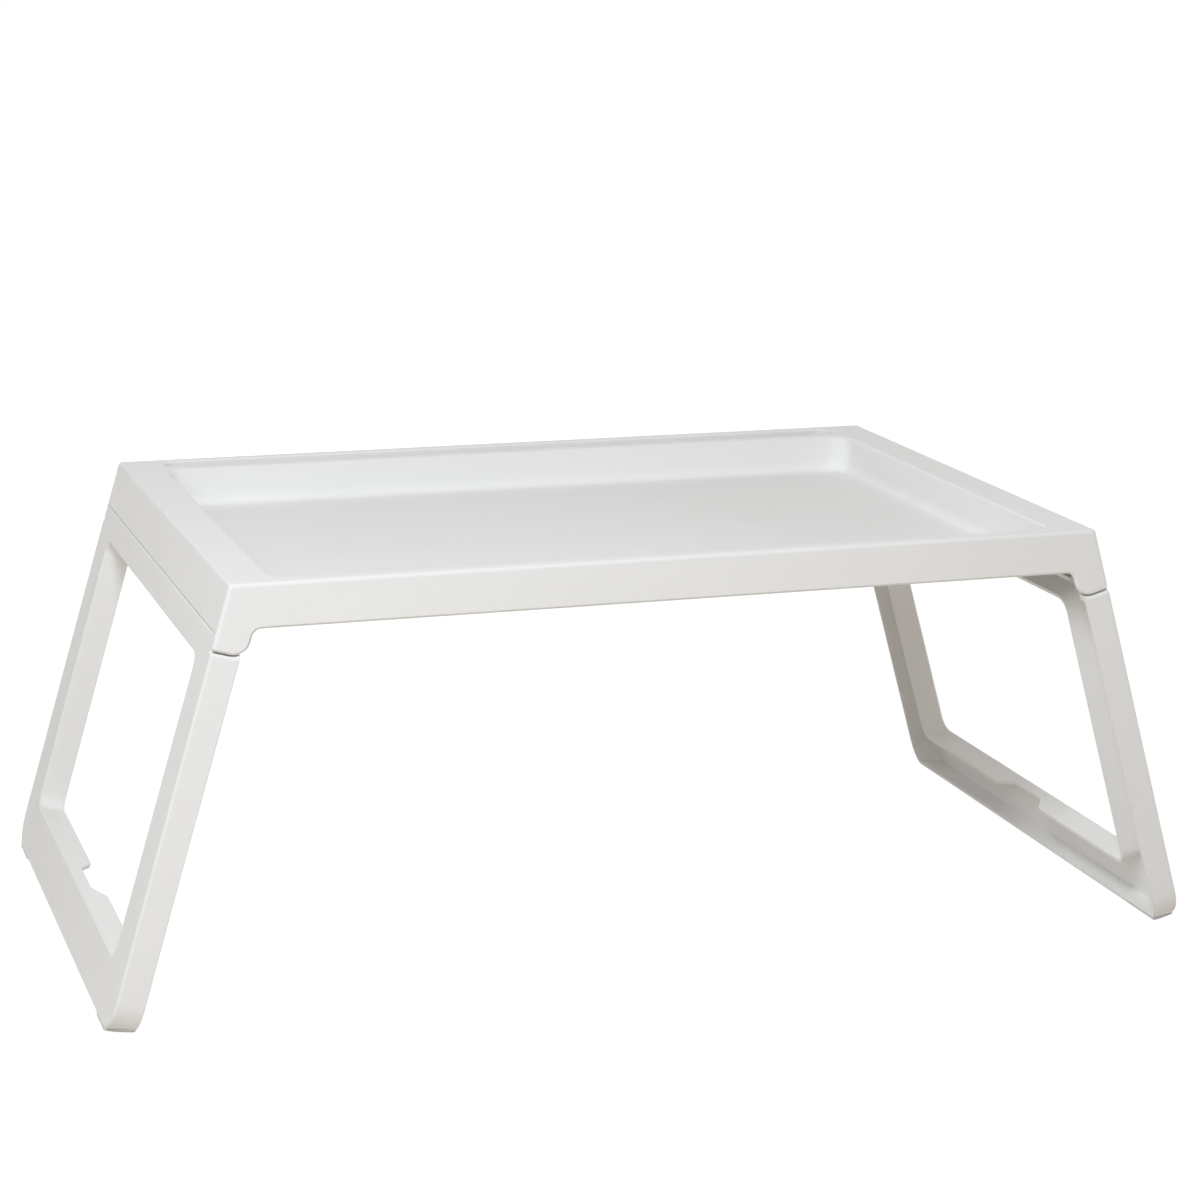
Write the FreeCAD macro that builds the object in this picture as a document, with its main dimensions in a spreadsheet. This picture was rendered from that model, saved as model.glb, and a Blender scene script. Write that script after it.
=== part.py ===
import FreeCAD, Part

import math
import os

import Sketcher
from FreeCAD import Vector

# Folding lap tray: a thin-walled moulded tray with a recessed well and a tablet channel, on two
# folding leg frames.  Millimetres and degrees; +Z up, +X right, +Y to the back, and the origin on
# the floor under the middle of the tray.  "Drop" is a distance down the sloping end of the tray
# and its legs, measured from the rim, and "inset" is the distance inward from that slope.

SIZES = {
    # Tray outline
    "top_length": 538.0,
    "top_depth": 369.5,
    "tray_height": 261.0,
    "leg_tilt": 16.2,
    "front_draft": 0.37,
    "corner_radius": 2.5,
    "rim_radius": 2.4,
    "mouth_bevel": 1.2,
    # Tray walls and skirts
    "deck_wall": 2.4,
    "skirt_wall": 3.0,
    "end_wall": 2.5,
    "skirt_height": 26.6,
    "end_skirt_drop": 29.2,
    "skirt_bevel": 1.2,
    # Well and tablet channel
    "side_rim": 25.8,
    "front_rim": 9.75,
    "rear_rim": 8.0,
    "divider_width": 9.5,
    "channel_width": 20.0,
    "channel_end_rim": 28.0,
    "well_depth": 24.4,
    "channel_depth": 24.4,
    "well_corner_radius": 13.0,
    "channel_end_radius": 9.0,
    "well_floor_radius": 6.0,
    "tub_wall": 2.4,
    "tub_floor": 2.2,
    "tub_draft": 1.5,
    # Stiffening ribs between the end skirts and the well
    "rib_wall": 1.6,
    "rib_pitch": 65.0,
    "rib_count": 5,
    "rib_lift": 4.0,
    # Hinge ears, bosses and pins
    "ear_drop": 39.0,
    "ear_width": 20.6,
    "ear_radius": 9.6,
    "ear_root_radius": 6.0,
    "pivot_drop": 29.0,
    "pivot_inset": 14.2,
    "boss_radius": 4.4,
    "boss_height": 1.6,
    "socket_depth": 3.4,
    "pin_radius": 2.0,
    "pin_tip_gap": 0.1,
    "pin_chamfer": 0.4,
    "head_radius": 3.2,
    "head_height": 1.5,
    "socket_clearance": 0.01,
    "running_clearance": 0.06,
    "side_clearance": 0.3,
    # Leg frames
    "leg_depth": 17.0,
    "leg_wall": 2.4,
    "leg_top_gap": 0.55,
    "ear_gap": 1.2,
    "top_rail": 19.65,
    "bottom_rail": 36.55,
    "upright_width": 32.25,
    "window_radius": 8.0,
    "foot_corner_radius": 21.0,
    "foot_corner_overrun": 0.6,
    "leg_edge_radius": 1.6,
    "window_bevel": 1.2,
    "lug_radius": 4.2,
    "lug_wall": 2.8,
    "lug_heel": 2.0,
    "lug_root_drop": 38.5,
    "pin_access": 10.0,
    "head_clearance": 0.7,
    "grip_mouth": 64.0,
    "grip_floor": 39.0,
    "grip_depth": 8.5,
    "grip_radius": 8.0,
    # Foot pads
    "pad_reach": 38.25,
    "pad_inset": 0.5,
    "pad_bevel": 0.5,
    "pad_proud": 1.0,
    "pad_recess": 1.0,
    "pad_clearance": 0.25,
}

BEYOND = "20"
HALF_DEPTH = "Sizes.top_depth / 2"
HALF_LENGTH = "Sizes.top_length / 2"
EAR_FACE = f"({HALF_DEPTH} - Sizes.skirt_wall)"
BOSS_FACE = f"({EAR_FACE} - Sizes.boss_height)"
LUG_FACE = f"({BOSS_FACE} - Sizes.side_clearance)"
LUG_BACK = f"({LUG_FACE} - Sizes.lug_wall)"
LEG_TOP = "(Sizes.end_skirt_drop + Sizes.leg_top_gap)"
COS_TILT = "cos(Sizes.leg_tilt)"
SIN_TILT = "sin(Sizes.leg_tilt)"
LEG_LENGTH = f"((Sizes.tray_height - Sizes.pad_proud) / {COS_TILT})"
PAD_BACK = f"({HALF_DEPTH} - Sizes.pad_reach)"
PAD_SEAT = "(Sizes.pad_proud + Sizes.pad_recess)"


def add_sheet(doc):
    """The spreadsheet that drives every size."""
    sheet = doc.addObject("Spreadsheet::Sheet", "Sizes")
    for row, (name, size) in enumerate(SIZES.items(), start=1):
        sheet.set(f"A{row}", name)
        sheet.set(f"B{row}", str(size))
        sheet.setAlias(f"B{row}", name)
    doc.recompute()


def amount(owner, expression):
    """The number that an expression gives now."""
    return float(owner.evalExpression(expression))


def on_end(side, drop, inset):
    """A point of the tray's side view, from its drop and inset on the left or right end."""
    across = f"({HALF_LENGTH} + ({drop}) * {SIN_TILT} - ({inset}) * {COS_TILT})"
    height = f"Sizes.tray_height - ({drop}) * {COS_TILT} - ({inset}) * {SIN_TILT}"
    return f"{side} * {across}", height


# ---- sketches ----


def add_body(doc, name):
    body = doc.addObject("PartDesign::Body", name)
    body.Label = name
    return body


def origin_feature(body, role):
    return next(feature for feature in body.Origin.OriginFeatures if feature.Role == role)


def add_sketch(body, name, plane, offset="0"):
    """An empty sketch on one of the body's own origin planes, moved along the plane's normal."""
    sketch = body.newObject("Sketcher::SketchObject", name)
    sketch.AttachmentSupport = [(origin_feature(body, plane), "")]
    sketch.MapMode = "FlatFace"
    sketch.setExpression("AttachmentOffset.Base.z", offset)
    return sketch


def bind(sketch, kind, *references):
    """Add a constraint whose last reference is the expression that drives it."""
    *geometry, expression = references
    size = amount(sketch, expression)
    index = sketch.addConstraint(Sketcher.Constraint(kind, *geometry, size))
    sketch.setExpression(f"Constraints[{index}]", expression)


def pin_point(sketch, geometry, position, across, up):
    """Hold one point at its coordinates in the sketch."""
    for kind, axis, expression in (("DistanceX", -2, across), ("DistanceY", -1, up)):
        if expression == "0":
            sketch.addConstraint(Sketcher.Constraint("PointOnObject", geometry, position, axis))
        else:
            bind(sketch, kind, -1, 1, geometry, position, expression)


def draw_outline(sketch, corners):
    """A closed outline from corners (across, up) or (across, up, radius), all expressions."""
    places = [Vector(amount(sketch, c[0]), amount(sketch, c[1]), 0) for c in corners]
    count = len(corners)
    arcs = {}
    leave = list(places)
    arrive = list(places)
    for index, corner in enumerate(corners):
        if len(corner) == 2:
            continue
        radius = amount(sketch, corner[2])
        back = (places[index - 1] - places[index]).normalize()
        ahead = (places[(index + 1) % count] - places[index]).normalize()
        half_angle = back.getAngle(ahead) / 2
        reach = radius / math.tan(half_angle)
        arrive[index] = places[index] + back * reach
        leave[index] = places[index] + ahead * reach
        middle = places[index] + (back + ahead).normalize() * (radius / math.sin(half_angle))
        left_turn = ahead.cross(back).z > 0
        first, last = (arrive, leave) if left_turn else (leave, arrive)
        start, end = (
            math.atan2(*reversed((point[index] - middle)[:2])) for point in (first, last)
        )
        if end < start:
            end += 2 * math.pi
        arcs[index] = (Part.ArcOfCircle(Part.Circle(middle, Vector(0, 0, 1), radius), start, end),
                       left_turn)
    lines = []
    for index in range(count):
        line = Part.LineSegment(leave[index], arrive[(index + 1) % count])
        lines.append(sketch.addGeometry(line, False))
    for index, corner in enumerate(corners):
        before, after = lines[index - 1], lines[index]
        if index not in arcs:
            sketch.addConstraint(Sketcher.Constraint("Coincident", before, 2, after, 1))
            pin_point(sketch, after, 1, *corner[:2])
            continue
        curve, left_turn = arcs[index]
        arc = sketch.addGeometry(curve, False)
        first, last = (1, 2) if left_turn else (2, 1)
        sketch.addConstraint(Sketcher.Constraint("Tangent", before, 2, arc, first))
        sketch.addConstraint(Sketcher.Constraint("Tangent", arc, last, after, 1))
        bind(sketch, "Radius", arc, corner[2])
        mark = sketch.addGeometry(Part.Point(places[index]), True)
        sketch.addConstraint(Sketcher.Constraint("PointOnObject", mark, 1, before))
        sketch.addConstraint(Sketcher.Constraint("PointOnObject", mark, 1, after))
        pin_point(sketch, mark, 1, *corner[:2])


def draw_box(sketch, left, right, bottom, top, radius=None):
    """A rectangle between four expressions, with one radius at all its corners."""
    rounding = () if radius is None else (radius,)
    corners = [(left, bottom), (right, bottom), (right, top), (left, top)]
    draw_outline(sketch, [corner + rounding for corner in corners])


def draw_circle(sketch, across, up, radius):
    """A circle about a point given by expressions."""
    middle = Vector(amount(sketch, across), amount(sketch, up), 0)
    circle = sketch.addGeometry(Part.Circle(middle, Vector(0, 0, 1), amount(sketch, radius)), False)
    bind(sketch, "Radius", circle, radius)
    pin_point(sketch, circle, 3, across, up)


# ---- features ----


def settle(feature, before, grows):
    """Recompute, and make sure that the feature added or cut what it should."""
    feature.Document.recompute()
    gained = feature.Shape.Volume - before
    if (gained > 0) != grows or abs(gained) < 1e-3:
        raise RuntimeError(f"{feature.Label} changed the volume by {gained:.3f}")
    return feature


def volume_of(body):
    return body.Tip.Shape.Volume if body.Tip else 0.0


def extrude(body, kind, sketch, length, both_ways=False, reverse=False, taper=None):
    """A Pad or Pocket of a sketch; a length of None cuts through everything."""
    before = volume_of(body)
    name = sketch.Label.replace("_outline", "")
    feature = body.newObject(f"PartDesign::{kind}", name)
    feature.Profile = sketch
    feature.SideType = "Symmetric" if both_ways else "One side"
    feature.Reversed = reverse
    if length is None:
        feature.Type = "ThroughAll"
    else:
        feature.setExpression("Length", length)
    if taper is not None:
        feature.setExpression("TaperAngle", taper)
    return settle(feature, before, kind == "Pad")


def edges_where(feature, test):
    """Names of the edges whose bounding box and middle pass a test."""
    edges = enumerate(feature.Shape.Edges, start=1)
    return [f"Edge{index}" for index, edge in edges if test(edge.BoundBox, edge)]


def treat_edges(body, kind, name, test, **sizes):
    """A Fillet or Chamfer on the edges of the body's last feature that pass a test."""
    base = body.Tip
    names = edges_where(base, test)
    if not names:
        raise RuntimeError(f"{name} found no edges")
    feature = body.newObject(f"PartDesign::{kind}", name)
    feature.Base = (base, names)
    for size, expression in sizes.items():
        feature.setExpression(size, expression)
    body.Document.recompute()


def round_edges(body, name, radius, test):
    treat_edges(body, "Fillet", name, test, Radius=radius)


def bevel_edges(body, name, size, test):
    treat_edges(body, "Chamfer", name, test, Size=size)


def mirror_front_to_back(body, name, features):
    """Repeat features on the other side of the body's XZ plane."""
    mirrored = body.newObject("PartDesign::Mirrored", name)
    mirrored.Originals = features
    mirrored.MirrorPlane = (origin_feature(body, "XZ_Plane"), [""])
    body.Tip = mirrored
    body.Document.recompute()
    return mirrored


# ---- tray ----


def add_tray_block(body):
    """The side view with its four ears, trimmed to the drafted front and back."""
    sketch = add_sketch(body, "block_outline", "XZ_Plane")
    root_drop = f"(Sizes.skirt_height - Sizes.ear_width * {SIN_TILT}) / {COS_TILT}"
    left, right = (
        [
            on_end(side, "0", "0"),
            on_end(side, "Sizes.ear_drop", "0"),
            on_end(side, "Sizes.ear_drop", "Sizes.ear_width") + ("Sizes.ear_radius",),
            on_end(side, root_drop, "Sizes.ear_width") + ("Sizes.ear_root_radius",),
        ]
        for side in (-1, 1)
    )
    draw_outline(sketch, left + right[::-1])
    extrude(body, "Pad", sketch, f"Sizes.top_depth + {BEYOND}", both_ways=True)
    sketch = add_sketch(body, "draft_outline", "YZ_Plane")
    for side in (-1, 1):
        outer = f"{side} * ({HALF_DEPTH} + {BEYOND})"
        lines = []
        for below in (f"(-{BEYOND})", f"(Sizes.ear_drop + {BEYOND})"):
            half = f"({HALF_DEPTH} + {below} * tan(Sizes.front_draft))"
            lines.append([(f"{side} * {half}", f"Sizes.tray_height - {below}"),
                          (outer, f"Sizes.tray_height - {below}")])
        draw_outline(sketch, lines[0] + lines[1][::-1])
    extrude(body, "Pocket", sketch, None, both_ways=True)
    half_length = amount(body, HALF_LENGTH)
    round_edges(body, "block_corners", "Sizes.corner_radius",
                lambda box, edge: box.ZLength > 20 and box.YLength < 1
                and min(abs(box.XMin), abs(box.XMax)) > half_length - 0.1)


def cut_cavity(body):
    """The hollow underside, which also trims the end skirts square to their slope."""
    sketch = add_sketch(body, "cavity_outline", "XZ_Plane")
    deck_drop = f"(Sizes.deck_wall - Sizes.end_wall * {SIN_TILT}) / {COS_TILT}"
    corners = []
    for side, order in ((-1, 1), (1, -1)):
        end = [
            on_end(side, f"(Sizes.ear_drop + 2 * {BEYOND})", f"-{BEYOND}"),
            on_end(side, "Sizes.end_skirt_drop", f"-{BEYOND}"),
            on_end(side, "Sizes.end_skirt_drop", "Sizes.end_wall"),
            on_end(side, deck_drop, "Sizes.end_wall"),
        ]
        corners += end[::order]
    draw_outline(sketch, corners)
    extrude(body, "Pocket", sketch, "Sizes.top_depth - 2 * Sizes.skirt_wall", both_ways=True)


def bevel_skirts(body):
    """Broken lower edges on the front and rear skirts and around the ears."""
    half_depth = amount(body, HALF_DEPTH)
    hem = amount(body, "Sizes.tray_height - Sizes.skirt_height / 2")

    def lower_outer(box, edge):
        return box.ZMax < hem and min(abs(box.YMin), abs(box.YMax)) > half_depth

    bevel_edges(body, "skirt_bevel", "Sizes.skirt_bevel", lower_outer)


WELL = {
    "across": f"({HALF_LENGTH} - Sizes.side_rim)",
    "front": f"(-{HALF_DEPTH} + Sizes.front_rim)",
    "back": f"({HALF_DEPTH} - Sizes.rear_rim - Sizes.channel_width - Sizes.divider_width)",
    "corner": "Sizes.well_corner_radius",
    "depth": "Sizes.well_depth",
}
CHANNEL = {
    "across": f"({HALF_LENGTH} - Sizes.channel_end_rim)",
    "front": f"({HALF_DEPTH} - Sizes.rear_rim - Sizes.channel_width)",
    "back": f"({HALF_DEPTH} - Sizes.rear_rim)",
    "corner": "Sizes.channel_end_radius",
    "depth": "Sizes.channel_depth",
}


def draw_tub(body, name, tub, wall):
    """A recess's outline at the rim's level, grown by a wall."""
    sketch = add_sketch(body, f"{name}_outline", "XY_Plane", "Sizes.tray_height")
    draw_box(
        sketch,
        f"-({tub['across']} + {wall})",
        f"({tub['across']} + {wall})",
        f"({tub['front']} - {wall})",
        f"({tub['back']} + {wall})",
        f"({tub['corner']} + {wall})",
    )
    return sketch


def add_tubs(body):
    """The well and the tablet channel, each a drafted tub hung from the deck."""
    for name, tub in (("well", WELL), ("channel", CHANNEL)):
        outside = draw_tub(body, f"{name}_tub", tub, "Sizes.tub_wall")
        extrude(body, "Pad", outside, f"{tub['depth']} + Sizes.tub_floor", reverse=True,
                taper="-Sizes.tub_draft")
    for name, tub in (("well", WELL), ("channel", CHANNEL)):
        inside = draw_tub(body, name, tub, "0")
        extrude(body, "Pocket", inside, tub["depth"], taper="-Sizes.tub_draft")


def round_tubs(body):
    """A soft floor edge in the well, a rounded outer rim, and bevelled mouths."""
    top = amount(body, "Sizes.tray_height")
    floor = top - amount(body, WELL["depth"])
    front = amount(body, WELL["front"])
    back = amount(body, WELL["back"])
    half_depth = amount(body, HALF_DEPTH)
    half_length = amount(body, HALF_LENGTH)

    def on_floor(box, edge):
        level = abs(box.ZMin - floor) < 0.01 and box.ZLength < 0.1
        return level and front < box.Center.y < back

    def outer(box):
        return (max(abs(box.YMin), abs(box.YMax)) > half_depth - 1
                or max(abs(box.XMin), abs(box.XMax)) > half_length - 1)

    def at_rim(box):
        return abs(box.ZMin - top) < 0.01 and box.ZLength < 0.1

    round_edges(body, "well_floor_round", "Sizes.well_floor_radius", on_floor)
    round_edges(body, "rim_round", "Sizes.rim_radius",
                lambda box, edge: at_rim(box) and outer(box))
    bevel_edges(body, "mouth_bevel", "Sizes.mouth_bevel",
                lambda box, edge: at_rim(box) and not outer(box) and inside_rim(body, box))


def inside_rim(body, box):
    """Whether an edge at the rim's level bounds the well or the channel."""
    reach = max(amount(body, WELL["across"]), amount(body, CHANNEL["across"])) + 0.1
    return max(abs(box.XMin), abs(box.XMax)) < reach


def add_ribs(body):
    """Thin ribs that tie each end skirt to the well, repeated along the tray's depth."""
    sketch = add_sketch(body, "ribs_outline", "XZ_Plane",
                        "Sizes.rib_pitch * (Sizes.rib_count - 1) / 2")
    top = "Sizes.tray_height - Sizes.deck_wall / 2"
    for side in (-1, 1):
        foot = "(Sizes.end_skirt_drop - Sizes.rib_lift)"
        skirt_foot = on_end(side, foot, "Sizes.end_wall / 2")
        skirt_top = on_end(side, f"Sizes.deck_wall / {COS_TILT}", "Sizes.end_wall / 2")
        well_side = f"{side} * ({WELL['across']} + Sizes.tub_wall / 2)"
        corners = [skirt_foot, (well_side, skirt_foot[1]), (well_side, top), (skirt_top[0], top)]
        draw_outline(sketch, corners if side < 0 else corners[::-1])
    ribs = extrude(body, "Pad", sketch, "Sizes.rib_wall", both_ways=True)
    pattern = body.newObject("PartDesign::LinearPattern", "rib_row")
    pattern.Originals = [ribs]
    pattern.Direction = (origin_feature(body, "Y_Axis"), [""])
    pattern.setExpression("Length", "Sizes.rib_pitch * (Sizes.rib_count - 1)")
    pattern.setExpression("Occurrences", "Sizes.rib_count")
    body.Tip = pattern
    body.Document.recompute()


def add_hinge_bosses(body):
    """Bosses inside the four ears, with blind sockets that the pins press into."""
    boss_sketch = add_sketch(body, "boss_outline", "XZ_Plane", EAR_FACE)
    socket_sketch = add_sketch(body, "socket_outline", "XZ_Plane", BOSS_FACE)
    for side in (-1, 1):
        pivot = on_end(side, "Sizes.pivot_drop", "Sizes.pivot_inset")
        draw_circle(boss_sketch, *pivot, "Sizes.boss_radius")
        draw_circle(socket_sketch, *pivot, "(Sizes.pin_radius + Sizes.socket_clearance)")
    boss = extrude(body, "Pad", boss_sketch, "Sizes.boss_height", reverse=True)
    socket = extrude(body, "Pocket", socket_sketch, "Sizes.socket_depth", reverse=True)
    mirror_front_to_back(body, "rear_bosses", [boss, socket])


def make_tray(doc):
    body = add_body(doc, "tray")
    add_tray_block(body)
    cut_cavity(body)
    bevel_skirts(body)
    add_tubs(body)
    round_tubs(body)
    add_ribs(body)
    add_hinge_bosses(body)
    return body


# ---- leg frames ----
# A leg is drawn in its own plane: X is the inset, Y the tray's depth, and Z minus the drop.


def at_level(inset, height):
    """A point of the leg's side view, from its inset and its height above the floor."""
    drop = f"(Sizes.tray_height - {height} - ({inset}) * {SIN_TILT}) / {COS_TILT}"
    return inset, f"-({drop})"


def half_depth_at(drop):
    """The leg's drafted half depth at a drop."""
    return f"({HALF_DEPTH} + {drop} * {COS_TILT} * tan(Sizes.front_draft))"


def draw_below(sketch, height):
    """Everything under a level, across the leg's side view."""
    inner = f"(Sizes.leg_depth + {BEYOND})"
    deep = f"-({LEG_LENGTH} + 2 * {BEYOND})"
    draw_outline(sketch, [at_level(f"-{BEYOND}", height), (f"-{BEYOND}", deep), (inner, deep),
                          at_level(inner, height)])


def add_leg_block(body):
    """The leg's outer form: a drafted panel with rounded foot corners, cut level at the foot."""
    sketch = add_sketch(body, "panel_outline", "YZ_Plane")
    foot = f"({LEG_LENGTH} + Sizes.foot_corner_overrun)"
    corners = []
    for side in (-1, 1):
        ends = [
            (f"{side} * {half_depth_at(foot)}", f"-{foot}", "Sizes.foot_corner_radius"),
            (f"{side} * {half_depth_at(LEG_TOP)}", f"-{LEG_TOP}"),
        ]
        corners += ends if side > 0 else ends[::-1]
    draw_outline(sketch, corners)
    extrude(body, "Pad", sketch, "Sizes.leg_depth")
    sketch = add_sketch(body, "foot_outline", "XZ_Plane")
    draw_below(sketch, "Sizes.pad_proud")
    extrude(body, "Pocket", sketch, None, both_ways=True)


def draw_window(sketch, wall):
    """The window's outline, grown by a wall."""
    half = f"({HALF_DEPTH} - Sizes.upright_width + {wall})"
    draw_box(sketch, f"-{half}", half, f"-({LEG_LENGTH} - Sizes.bottom_rail + {wall})",
             f"-({LEG_TOP} + Sizes.top_rail - {wall})", f"(Sizes.window_radius + {wall})")


def cut_window(body):
    """The large opening inside the frame."""
    sketch = add_sketch(body, "window_outline", "YZ_Plane")
    draw_window(sketch, "0")
    extrude(body, "Pocket", sketch, None, reverse=True)


def cut_ear_notches(body):
    """Top corners cut back along the ears' outline, to clear the ears and their bosses."""
    sketch = add_sketch(body, "ear_notch_outline", "XZ_Plane", LUG_FACE)
    floor = "-(Sizes.ear_drop + Sizes.ear_gap)"
    inner = "(Sizes.ear_width + Sizes.ear_gap)"
    above = f"-({LEG_TOP} - {BEYOND})"
    draw_outline(sketch, [(f"-{BEYOND}", above), (f"-{BEYOND}", floor),
                          (inner, floor, "(Sizes.ear_radius + Sizes.ear_gap)"), (inner, above)])
    notch = extrude(body, "Pocket", sketch, None, reverse=True)
    mirror_front_to_back(body, "rear_ear_notch", [notch])


def make_hollow(doc, name):
    """The space inside the frame's walls, open to the leg's inner side."""
    body = add_body(doc, f"{name}_hollow")
    sketch = add_sketch(body, "hollow_outline", "YZ_Plane", "Sizes.leg_wall")
    wall = "Sizes.leg_wall"
    foot = f"({LEG_LENGTH} + Sizes.foot_corner_overrun - {wall})"
    step = f"(Sizes.ear_drop + Sizes.ear_gap + {wall})"
    top = f"({LEG_TOP} + {wall})"
    corners = []
    for side in (-1, 1):
        ends = [
            (f"{side} * ({half_depth_at(foot)} - {wall})", f"-{foot}",
             f"(Sizes.foot_corner_radius - {wall})"),
            (f"{side} * ({half_depth_at(step)} - {wall})", f"-{step}"),
            (f"{side} * ({LUG_FACE} - {wall})", f"-{step}"),
            (f"{side} * ({LUG_FACE} - {wall})", f"-{top}"),
        ]
        corners += ends if side > 0 else ends[::-1]
    draw_outline(sketch, corners)
    draw_window(sketch, wall)
    extrude(body, "Pad", sketch, "Sizes.leg_depth")
    sketch = add_sketch(body, "foot_outline", "XZ_Plane")
    draw_below(sketch, f"(Sizes.pad_proud + {wall})")
    extrude(body, "Pocket", sketch, None, both_ways=True)
    return body


def shell_leg(body):
    """The frame hollowed from its inner side, then its outside edges rounded."""
    before = volume_of(body)
    shell = body.newObject("PartDesign::Boolean", "shell")
    shell.Type = "Cut"
    shell.setObjects([make_hollow(body.Document, body.Label)])
    settle(shell, before, False)
    half_depth = amount(body, HALF_DEPTH)
    notch = -amount(body, "Sizes.ear_drop + Sizes.ear_gap + 0.1")

    window = half_depth - amount(body, "Sizes.upright_width") + 0.1
    window_top = -amount(body, f"{LEG_TOP} + Sizes.top_rail - 0.1")
    window_foot = -amount(body, f"{LEG_LENGTH} - Sizes.bottom_rail + 0.1")

    def on_skin(box):
        return box.XMax < 0.01

    def on_window(box):
        level = window_foot < box.ZMin and box.ZMax < window_top
        return on_skin(box) and level and max(abs(box.YMin), abs(box.YMax)) < window

    def outside(box, edge):
        on_flange = min(abs(box.YMin), abs(box.YMax)) > half_depth
        by_ear = on_flange and box.ZMin > notch and box.XLength > 1
        return by_ear or (on_skin(box) and not on_window(box))

    round_edges(body, "skin_round", "Sizes.leg_edge_radius", outside)
    bevel_edges(body, "window_bevel", "Sizes.window_bevel", lambda box, edge: on_window(box))


def add_lugs(body):
    """Lugs that carry the pins, and the skin carried on past them to the ears."""
    wing_sketch = add_sketch(body, "wing_outline", "XZ_Plane", f"({EAR_FACE} - Sizes.side_clearance)")
    draw_box(wing_sketch, "0", "Sizes.leg_wall", "-(Sizes.ear_drop + Sizes.ear_gap + Sizes.leg_wall)",
             f"-{LEG_TOP}")
    wing = extrude(body, "Pad", wing_sketch, f"{EAR_FACE} - Sizes.side_clearance - {LUG_BACK}",
                   reverse=True)
    lug_sketch = add_sketch(body, "lug_outline", "XZ_Plane", LUG_FACE)
    root = "-Sizes.lug_root_drop"
    top = "-(Sizes.pivot_drop - Sizes.lug_radius)"
    outer = "(Sizes.pivot_inset - Sizes.lug_radius - Sizes.lug_heel)"
    inner = "(Sizes.pivot_inset + Sizes.lug_radius)"
    draw_outline(lug_sketch, [
        (outer, root),
        ("(Sizes.leg_depth - Sizes.leg_wall / 2)", root),
        (inner, "-(Sizes.pivot_drop + Sizes.lug_radius / 2)"),
        (inner, top, "Sizes.lug_radius"),
        (outer, top, "Sizes.lug_radius"),
    ])
    lug = extrude(body, "Pad", lug_sketch, "Sizes.lug_wall", reverse=True)
    hole_sketch = add_sketch(body, "pin_hole_outline", "XZ_Plane", LUG_FACE)
    draw_circle(hole_sketch, "Sizes.pivot_inset", "-Sizes.pivot_drop",
                "(Sizes.pin_radius + Sizes.running_clearance)")
    hole = extrude(body, "Pocket", hole_sketch, "Sizes.lug_wall")
    access_sketch = add_sketch(body, "pin_access_outline", "XZ_Plane", LUG_BACK)
    clear = "(Sizes.head_radius + Sizes.head_clearance)"
    draw_box(access_sketch, f"(Sizes.pivot_inset - {clear})", "(Sizes.leg_depth + 1)",
             f"-(Sizes.pivot_drop + {clear})", f"-({LEG_TOP} - 1)")
    access = extrude(body, "Pocket", access_sketch, "Sizes.pin_access")
    mirror_front_to_back(body, "rear_lug", [wing, lug, hole, access])


def cut_grip(body):
    """The finger recess in the free edge of the window's lower flange."""
    window_foot = f"({LEG_LENGTH} - Sizes.bottom_rail)"
    sketch = add_sketch(body, "grip_outline", "XY_Plane", f"-({window_foot} - 1)")
    edge = "Sizes.leg_depth"
    deep = "(Sizes.leg_depth - Sizes.grip_depth)"
    draw_outline(sketch, [
        (f"({edge} + 1)", "-Sizes.grip_mouth / 2"),
        (f"({edge} + 1)", "Sizes.grip_mouth / 2"),
        (edge, "Sizes.grip_mouth / 2"),
        (deep, "Sizes.grip_floor / 2", "Sizes.grip_radius"),
        (deep, "-Sizes.grip_floor / 2", "Sizes.grip_radius"),
        (edge, "-Sizes.grip_mouth / 2"),
    ])
    extrude(body, "Pocket", sketch, "Sizes.leg_wall + 2")
    depth = amount(body, "Sizes.leg_depth")
    mouth = amount(body, "Sizes.grip_mouth / 2")
    round_edges(body, "grip_mouth", "Sizes.grip_radius",
                lambda box, edge: abs(box.XMin - depth) < 0.01 and box.YLength < 0.01
                and abs(abs(box.YMin) - mouth) < 0.01)


def cut_pad_seats(body):
    """Level seats for the pads, across both ends of the foot."""
    sketch = add_sketch(body, "pad_seat_outline", "XZ_Plane", f"{PAD_BACK} - Sizes.pad_clearance")
    draw_below(sketch, PAD_SEAT)
    seat = extrude(body, "Pocket", sketch, None, reverse=True)
    mirror_front_to_back(body, "rear_pad_seat", [seat])


def hang(body, turn):
    """Bind a body drawn in a leg's plane to the left or, turned half round, the right end."""
    side = "-1" if turn == 0 else "1"
    place(body, f"{side} * {HALF_LENGTH}", "0", "Sizes.tray_height",
          f"rotation(vector(0; 0; 1); {turn}) * rotation(vector(0; 1; 0); Sizes.leg_tilt)")


def make_leg(doc, name, turn):
    """One leg frame, hung from the left or, turned half round, the right end of the tray."""
    body = add_body(doc, name)
    add_leg_block(body)
    cut_window(body)
    cut_ear_notches(body)
    shell_leg(body)
    add_lugs(body)
    cut_grip(body)
    cut_pad_seats(body)
    hang(body, turn)
    return body


# ---- pins and pads ----


def place(body, across, deep, up, rotation):
    """Bind a body's place to the sheet."""
    body.setExpression("Placement", f"placement(vector({across}; {deep}; {up}); {rotation})")


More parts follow.
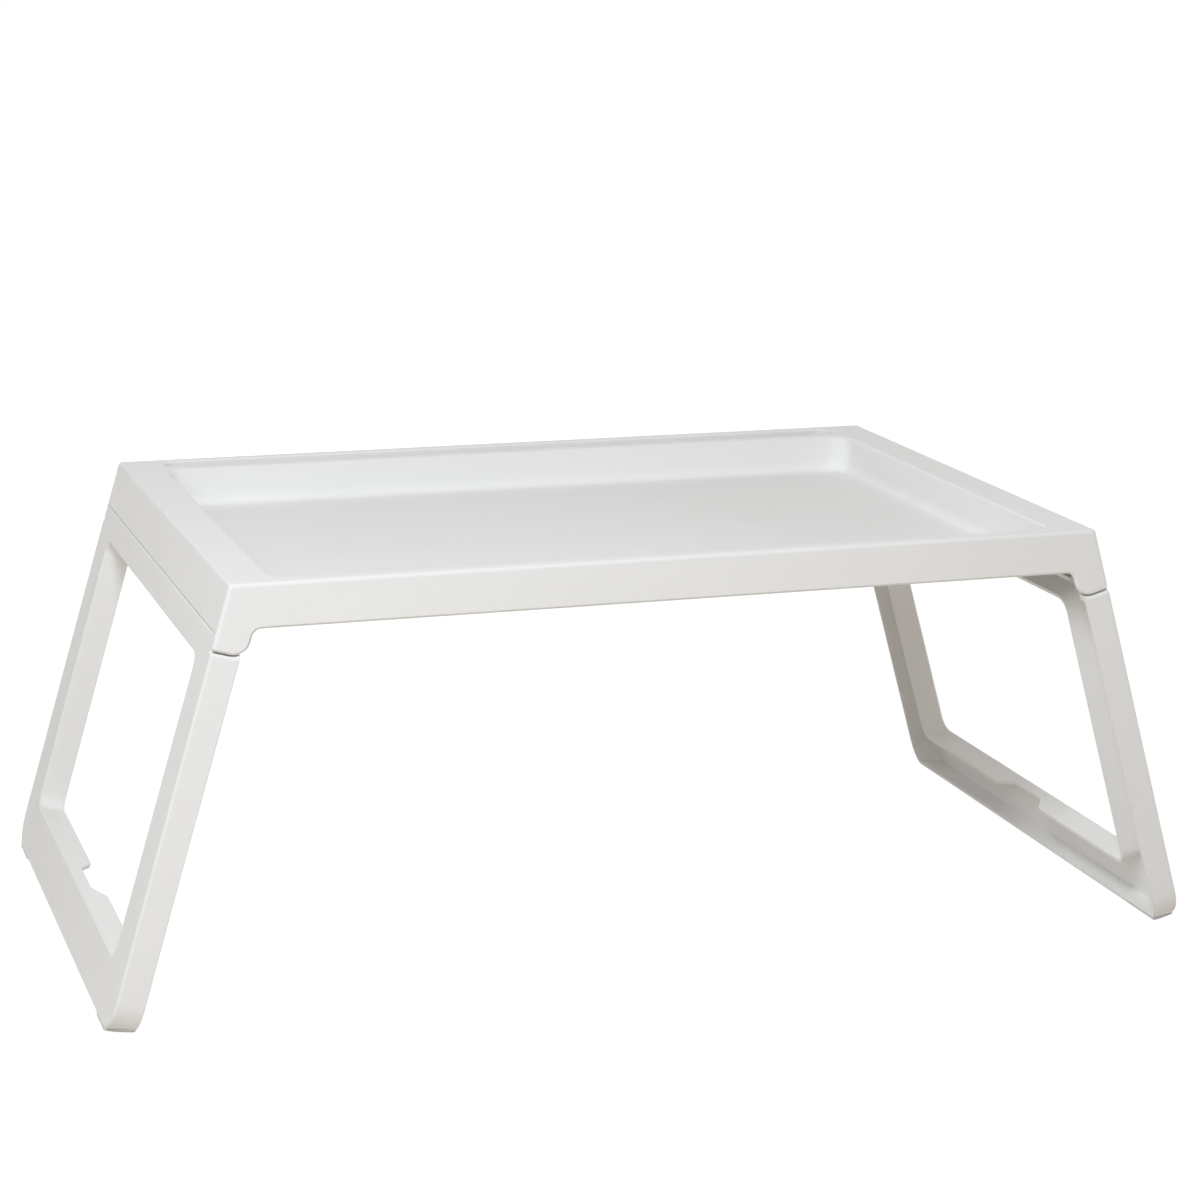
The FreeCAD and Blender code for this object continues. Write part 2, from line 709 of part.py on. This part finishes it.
def make_pin(doc, name, side, end):
    """A headed hinge pin, turned about its axis, with its tip pressed into the ear's socket."""
    body = add_body(doc, name)
    sketch = add_sketch(body, "turned_outline", "XZ_Plane")
    shank = "(Sizes.side_clearance * 2 + Sizes.lug_wall + Sizes.socket_depth - Sizes.pin_tip_gap)"
    draw_outline(sketch, [
        ("0", "0"),
        ("(Sizes.pin_radius - Sizes.pin_chamfer)", "0"),
        ("Sizes.pin_radius", "Sizes.pin_chamfer"),
        ("Sizes.pin_radius", shank),
        ("Sizes.head_radius", shank),
        ("Sizes.head_radius", f"({shank} + Sizes.head_height)"),
        ("0", f"({shank} + Sizes.head_height)"),
    ])
    turned = body.newObject("PartDesign::Revolution", "turned")
    turned.Profile = sketch
    turned.ReferenceAxis = (sketch, ["V_Axis"])
    turned.Angle = 360
    doc.recompute()
    pivot = on_end(side, "Sizes.pivot_drop", "Sizes.pivot_inset")
    tip = f"({BOSS_FACE} + Sizes.socket_depth - Sizes.pin_tip_gap)"
    place(body, pivot[0], f"{end} * {tip}", pivot[1], f"rotation(vector(1; 0; 0); {end} * 90)")
    return body


def make_pad(doc, name, side, end):
    """A soft sole under one end of a foot, with a level tread and the foot's rounded corner."""
    body = add_body(doc, name)
    facing = -side * end
    sketch = add_sketch(body, "sole_outline", "XZ_Plane", f"{-facing} * {PAD_BACK}")
    outer = "Sizes.pad_inset"
    inner = "(Sizes.leg_depth - Sizes.pad_inset)"
    bevel = "Sizes.pad_bevel"
    draw_outline(sketch, [
        at_level(f"({outer} + {bevel})", "0"),
        at_level(f"({inner} - {bevel})", "0"),
        at_level(inner, bevel),
        at_level(inner, PAD_SEAT),
        at_level(outer, PAD_SEAT),
        at_level(outer, bevel),
    ])
    extrude(body, "Pad", sketch, "Sizes.pad_reach + 2", reverse=facing > 0)
    sketch = add_sketch(body, "corner_outline", "YZ_Plane")
    top = f"({LEG_LENGTH} - {BEYOND})"
    foot = f"({LEG_LENGTH} + Sizes.foot_corner_overrun + Sizes.pad_proud / {COS_TILT})"
    beyond = f"({half_depth_at(foot)} + {BEYOND})"
    corners = [
        (half_depth_at(top), f"-{top}"),
        (beyond, f"-{top}"),
        (beyond, f"-({foot} + {BEYOND})"),
        (PAD_BACK, f"-({foot} + {BEYOND})"),
        (PAD_BACK, f"-{foot}"),
        (half_depth_at(foot), f"-{foot}", "Sizes.foot_corner_radius"),
    ]
    corners = [(f"{facing} * {corner[0]}",) + corner[1:] for corner in corners]
    draw_outline(sketch, corners if facing < 0 else corners[::-1])
    extrude(body, "Pocket", sketch, None, reverse=True)
    hang(body, 0 if side < 0 else 180)
    return body


CORNERS = {
    "left_front": (-1, -1),
    "left_rear": (-1, 1),
    "right_front": (1, -1),
    "right_rear": (1, 1),
}


def check(doc, parts):
    """Stop if any object failed or a part's shape is missing or broken."""
    failed = [item.Name for item in doc.Objects if {"Invalid", "Error"} & set(item.State)]
    if failed:
        raise RuntimeError(f"failed objects: {failed}")
    for part in parts:
        if part.Shape.isNull() or not part.Shape.isValid() or len(part.Shape.Solids) != 1:
            raise RuntimeError(f"{part.Label} isn't one valid solid")


def main():
    doc = FreeCAD.newDocument("folding_lap_tray")
    add_sheet(doc)
    parts = [
        make_tray(doc),
        make_leg(doc, "left_leg_frame", 0),
        make_leg(doc, "right_leg_frame", 180),
    ]
    for corner, (side, end) in CORNERS.items():
        parts.append(make_pin(doc, f"{corner}_hinge_pin", side, end))
        parts.append(make_pad(doc, f"{corner}_foot_pad", side, end))
    doc.recompute()
    check(doc, parts)
    os.makedirs("parts", exist_ok=True)
    for part in parts:
        part.Shape.exportStep(f"parts/{part.Label}.step")


main()
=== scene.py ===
import math
from collections import namedtuple

import bpy
from mathutils import Matrix, Vector

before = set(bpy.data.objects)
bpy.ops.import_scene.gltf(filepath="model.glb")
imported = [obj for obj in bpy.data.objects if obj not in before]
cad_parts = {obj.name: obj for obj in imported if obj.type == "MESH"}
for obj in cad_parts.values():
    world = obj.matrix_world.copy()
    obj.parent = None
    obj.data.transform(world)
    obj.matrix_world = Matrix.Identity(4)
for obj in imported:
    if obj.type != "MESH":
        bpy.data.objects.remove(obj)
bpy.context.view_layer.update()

MM = 0.001

# Camera: where it stands (m), which way it looks (in radians, yaw to the right and pitch
# downwards), and its lens.
CAMERA_PLACE = Vector((-0.5839, -1.7630, 0.6450))
CAMERA_YAW = 0.3254
CAMERA_PITCH = 0.2397
CAMERA_ROLL = 0.0123
CAMERA_LENS_MM = 88.57
CAMERA_SENSOR_MM = 36.0
CAMERA_FAR_END = 50

# Plastic: one white for the whole object. Over the surface its tone drifts slowly and its
# roughness a little faster, on top of each finish's own fine grain.
WHITE_PLASTIC = (0.86, 0.855, 0.84)
TONE_DRIFT_MM = 70
TONE_DRIFT_SHADE = 0.985
ROUGHNESS_DRIFT_MM = 22
ROUGHNESS_DRIFT_DOWN = 0.04
ROUGHNESS_DRIFT_UP = 0.05
SPECULAR_LEVEL = 0.2
GRAIN_STRENGTH = 0.35
EDGE_SAMPLES = 6
NOISE_LOW, NOISE_HIGH = 0.3, 0.7

# A finish: its shade of the white, its roughness, the size and depth of its grain, and how wide
# its edges look rounded. Each one is for the pieces whose names end with its key.
Finish = namedtuple("Finish", "material shade roughness grain_mm grain_depth_mm edge_mm")
FINISHES = {
    "tray": Finish("tray_plastic", 1.0, 0.48, 0.9, 0.03, 0.8),
    "leg_frame": Finish("leg_plastic", 1.0, 0.50, 0.9, 0.03, 0.8),
    "foot_pad": Finish("pad_rubber", 0.93, 0.75, 0.5, 0.05, 0.3),
    "hinge_pin": Finish("pin_plastic", 0.97, 0.3, 1.5, 0.01, 0.2),
}

# Floor: a hair below the soles, so that its face and theirs don't fall together.
FLOOR_SIZE = 30
FLOOR_DROP = 0.2 * MM
FLOOR_COLOUR = (0.74, 0.69, 0.62)
FLOOR_GLOW_COLOUR = (0.97, 0.983, 1)
FLOOR_GLOW_STRENGTH = 1.515
FLOOR_GLOW_SHARE = 0.6
TOUCHING_DISTANCE = 4 * MM

# Light: an even surround, and soft lamps with their sizes in metres and their power in watts.
# A lamp that isn't mirrored lights the plastic without a reflection in it.
WHITE = (1, 1, 1)
SURROUND_COLOUR = (1, 0.96, 0.915)
SURROUND_LEVEL = 0.403
COOL = (0.868, 0.916, 0.985)
WARM = (1, 0.97, 0.93)
NEUTRAL = (0.94, 0.975, 1)
Lamp = namedtuple("Lamp", "name place target width height power colour mirrored")
LAMPS = (
    Lamp("key", (-0.55, -1.0, 1.3), (-0.05, 0, 0.2), 0.4, 0.4, 10.4, COOL, True),
    Lamp("fill", (-1.1, -1.5, 1.2), (-0.05, 0, 0.2), 0.9, 0.9, 9.1, COOL, True),
    Lamp("back", (0.2, 1.8, 1.2), (0, 0, 0.2), 1.2, 0.8, 2.5, WARM, False),
    Lamp("rear", (-0.3, 1.7, 0.3), (0, 0, 0.2), 1.2, 0.5, 7.5, NEUTRAL, False),
    Lamp("side", (1.8, 0.2, 0.35), (0, 0, 0.15), 0.8, 0.5, 9, NEUTRAL, False),
)


def shade(colour, amount):
    return tuple(channel * amount for channel in colour)


# ---- camera ----


def look_matrix(place, yaw, pitch, roll):
    """A camera matrix from its heading, its downward pitch and its roll."""
    forward = Vector((math.sin(yaw) * math.cos(pitch), math.cos(yaw) * math.cos(pitch),
                      -math.sin(pitch)))
    level = Vector((math.cos(yaw), -math.sin(yaw), 0))
    upright = level.cross(forward)
    right = level * math.cos(roll) + upright * math.sin(roll)
    up = upright * math.cos(roll) - level * math.sin(roll)
    matrix = Matrix((right, up, -forward)).transposed().to_4x4()
    matrix.translation = place
    return matrix


def add_camera():
    data = bpy.data.cameras.new("camera")
    data.lens = CAMERA_LENS_MM
    data.sensor_width = CAMERA_SENSOR_MM
    data.clip_end = CAMERA_FAR_END
    camera = bpy.data.objects.new("camera", data)
    bpy.context.scene.collection.objects.link(camera)
    camera.matrix_world = look_matrix(CAMERA_PLACE, CAMERA_YAW, CAMERA_PITCH, CAMERA_ROLL)
    bpy.context.scene.camera = camera


# ---- node trees ----


class Nodes:
    """The node tree of a material or a world, with short ways to add nodes."""

    def __init__(self, owner):
        owner.use_nodes = True
        self.tree = owner.node_tree
        self.tree.nodes.clear()

    def add(self, kind, values=None, **settings):
        """Add a node. Each of its values is a constant or another node's output."""
        node = self.tree.nodes.new(kind)
        for name, setting in settings.items():
            setattr(node, name, setting)
        for socket, value in (values or {}).items():
            if isinstance(value, bpy.types.NodeSocket):
                self.tree.links.new(value, node.inputs[socket])
            else:
                node.inputs[socket].default_value = value
        return node

    def noise(self, place, size_mm, detail):
        """Soft noise with features of about the given size."""
        values = {"Vector": place, "Scale": 1 / (size_mm * MM), "Detail": detail}
        return self.add("ShaderNodeTexNoise", values).outputs["Fac"]

    def spread(self, noise, low, high):
        """Noise spread between two values."""
        values = {"Value": noise, "From Min": NOISE_LOW, "From Max": NOISE_HIGH,
                  "To Min": low, "To Max": high}
        return self.add("ShaderNodeMapRange", values).outputs["Result"]

    def blend(self, share, first, second):
        """A colour between two others."""
        values = {"Factor": share, "A": (*first, 1), "B": (*second, 1)}
        return self.add("ShaderNodeMix", values, data_type="RGBA").outputs["Result"]

    def glow(self, kind, colour, strength):
        """An emission or background shader."""
        return self.add(kind, {"Color": (*colour, 1), "Strength": strength}).outputs[0]

    def mix(self, share, first, second):
        """A shader that goes from the first to the second as the share goes from 0 to 1."""
        return self.add("ShaderNodeMixShader", {0: share, 1: first, 2: second}).outputs[0]

    def compute(self, operation, first, second):
        return self.add("ShaderNodeMath", {0: first, 1: second}, operation=operation).outputs[0]

    def shows_background(self):
        """1 for the rays that show the background: seen straight, in gloss or through glass."""
        rays = self.add("ShaderNodeLightPath").outputs
        seen = self.compute("MAXIMUM", rays["Is Camera Ray"], rays["Is Glossy Ray"])
        return self.compute("MAXIMUM", seen, rays["Is Transmission Ray"])


# ---- materials ----


def moulded_plastic(finish):
    """Satin moulded plastic: a fine grain, slow drifts of tone and roughness, soft edges."""
    material = bpy.data.materials.new(finish.material)
    nodes = Nodes(material)
    place = nodes.add("ShaderNodeTexCoord").outputs["Object"]
    colour = shade(WHITE_PLASTIC, finish.shade)
    tone = nodes.spread(nodes.noise(place, TONE_DRIFT_MM, 2), 0, 1)
    roughness = nodes.spread(nodes.noise(place, ROUGHNESS_DRIFT_MM, 4),
                             finish.roughness - ROUGHNESS_DRIFT_DOWN,
                             finish.roughness + ROUGHNESS_DRIFT_UP)
    edge = nodes.add("ShaderNodeBevel", {"Radius": finish.edge_mm * MM}, samples=EDGE_SAMPLES)
    grain = nodes.add("ShaderNodeBump", {
        "Strength": GRAIN_STRENGTH,
        "Distance": finish.grain_depth_mm * MM,
        "Height": nodes.noise(place, finish.grain_mm, 2),
        "Normal": edge.outputs["Normal"],
    })
    shader = nodes.add("ShaderNodeBsdfPrincipled", {
        "Base Color": nodes.blend(tone, shade(colour, TONE_DRIFT_SHADE), colour),
        "Roughness": roughness,
        "Specular IOR Level": SPECULAR_LEVEL,
        "Normal": grain.outputs["Normal"],
    })
    nodes.add("ShaderNodeOutputMaterial", {"Surface": shader.outputs["BSDF"]})
    return material


def dress_nodes():
    """Give every carried-over piece its finish."""
    for ending, finish in FINISHES.items():
        material = moulded_plastic(finish)
        for name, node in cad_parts.items():
            if name.endswith(ending):
                node.data.materials.clear()
                node.data.materials.append(material)


# ---- stage and light ----


def add_floor():
    """A pale floor that shows as white, with the object's soft shadow on it."""
    bpy.ops.mesh.primitive_plane_add(size=FLOOR_SIZE, location=(0, 0, -FLOOR_DROP))
    floor = bpy.context.object
    floor.name = "floor"
    material = bpy.data.materials.new("floor_white")
    nodes = Nodes(material)
    matt = nodes.add("ShaderNodeBsdfDiffuse", {"Color": (*FLOOR_COLOUR, 1)}).outputs[0]
    glow = nodes.glow("ShaderNodeEmission", FLOOR_GLOW_COLOUR, FLOOR_GLOW_STRENGTH)
    share = nodes.compute("MULTIPLY", nodes.shows_background(), FLOOR_GLOW_SHARE)
    top = nodes.mix(share, matt, glow)
    # The floor is clear from below, so that the underside can be looked at, and clear to rays that
    # reach it within a few millimetres, so that the soles it touches aren't black.
    below = nodes.add("ShaderNodeNewGeometry").outputs["Backfacing"]
    distance = nodes.add("ShaderNodeLightPath").outputs["Ray Length"]
    touching = nodes.compute("LESS_THAN", distance, TOUCHING_DISTANCE)
    clear = nodes.add("ShaderNodeBsdfTransparent").outputs[0]
    surface = nodes.mix(nodes.compute("MAXIMUM", below, touching), top, clear)
    nodes.add("ShaderNodeOutputMaterial", {"Surface": surface})
    floor.data.materials.append(material)


def add_surround():
    """An even surround that lights softly and shows as white."""
    world = bpy.data.worlds.new("surround")
    bpy.context.scene.world = world
    nodes = Nodes(world)
    light = nodes.glow("ShaderNodeBackground", SURROUND_COLOUR, SURROUND_LEVEL)
    white = nodes.glow("ShaderNodeBackground", WHITE, 1)
    surface = nodes.mix(nodes.shows_background(), light, white)
    nodes.add("ShaderNodeOutputWorld", {"Surface": surface})


def add_lamps():
    """Soft lamps that the camera doesn't see."""
    for lamp in LAMPS:
        data = bpy.data.lights.new(lamp.name, "AREA")
        data.shape = "RECTANGLE"
        data.size = lamp.width
        data.size_y = lamp.height
        data.energy = lamp.power
        data.color = lamp.colour
        softbox = bpy.data.objects.new(lamp.name, data)
        bpy.context.scene.collection.objects.link(softbox)
        softbox.visible_camera = False
        softbox.visible_glossy = lamp.mirrored
        softbox.location = lamp.place
        aim = Vector(lamp.target) - Vector(lamp.place)
        softbox.rotation_euler = aim.to_track_quat("-Z", "Y").to_euler()


bpy.context.scene.view_settings.view_transform = "Standard"
add_camera()
add_floor()
add_surround()
add_lamps()
dress_nodes()
